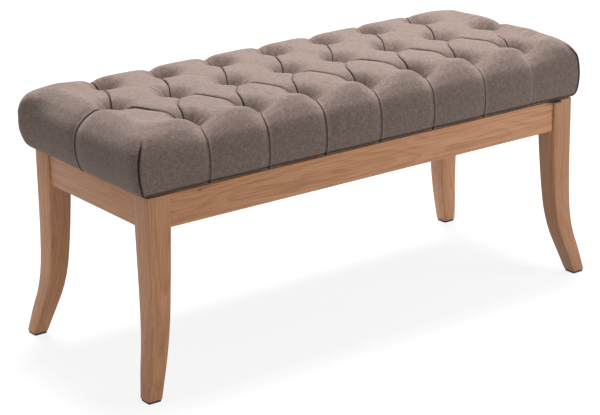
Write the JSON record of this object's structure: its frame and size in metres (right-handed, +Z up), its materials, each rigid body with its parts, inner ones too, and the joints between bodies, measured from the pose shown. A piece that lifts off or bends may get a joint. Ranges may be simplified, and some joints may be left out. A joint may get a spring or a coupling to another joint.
{
  "type": "upholstered bench",
  "caption": "Long bench with a deep-tufted fabric seat on a light wooden frame with sabre legs, for sitting on or standing at a bed's foot.",
  "frame": {"origin": "on the floor under the middle of the seat, at the centre of the footprint", "axes": "+X along the length of the seat, +Y across it towards the back, +Z up"},
  "size_m": [1.056, 0.431, 0.493],
  "materials": {
    "beech": "satin lacquer",
    "block_wood": "raw",
    "plywood": "raw",
    "linen": "plain weave",
    "foam": "open cell foam",
    "dust_cloth": "non-woven",
    "glide_plastic": "matte",
    "zinc_steel": "zinc plated",
    "twine": "waxed nylon"
  },
  "bodies": {
    "root": {"leg_front_left": "beech", "glide_front_left": "glide_plastic", "corner_block_front_left": "block_wood", "hanger_bolt_front_left": "zinc_steel", "flange_nut_front_left": "zinc_steel", "seat_screw_front_left": "zinc_steel", "leg_front_right": "beech", "glide_front_right": "glide_plastic", "corner_block_front_right": "block_wood", "hanger_bolt_front_right": "zinc_steel", "flange_nut_front_right": "zinc_steel", "seat_screw_front_right": "zinc_steel", "leg_back_left": "beech", "glide_back_left": "glide_plastic", "corner_block_back_left": "block_wood", "hanger_bolt_back_left": "zinc_steel", "flange_nut_back_left": "zinc_steel", "seat_screw_back_left": "zinc_steel", "leg_back_right": "beech", "glide_back_right": "glide_plastic", "corner_block_back_right": "block_wood", "hanger_bolt_back_right": "zinc_steel", "flange_nut_back_right": "zinc_steel", "seat_screw_back_right": "zinc_steel", "apron_back": "beech", "apron_front": "beech", "apron_right": "beech", "apron_left": "beech", "centre_rail": "block_wood", "seat_board": "plywood", "foam_pad": "foam", "seat_cover": "linen", "dust_cover": "dust_cloth", "tuft_tie_front_1": "twine", "tuft_tie_front_2": "twine", "tuft_tie_front_3": "twine", "tuft_tie_front_4": "twine", "tuft_tie_front_5": "twine", "tuft_tie_front_6": "twine", "tuft_tie_front_7": "twine", "tuft_tie_middle_1": "twine", "tuft_tie_middle_2": "twine", "tuft_tie_middle_3": "twine", "tuft_tie_middle_4": "twine", "tuft_tie_middle_5": "twine", "tuft_tie_middle_6": "twine", "tuft_tie_middle_7": "twine", "tuft_tie_middle_8": "twine", "tuft_tie_back_1": "twine", "tuft_tie_back_2": "twine", "tuft_tie_back_3": "twine", "tuft_tie_back_4": "twine", "tuft_tie_back_5": "twine", "tuft_tie_back_6": "twine", "tuft_tie_back_7": "twine"}
  },
  "joints": []
}
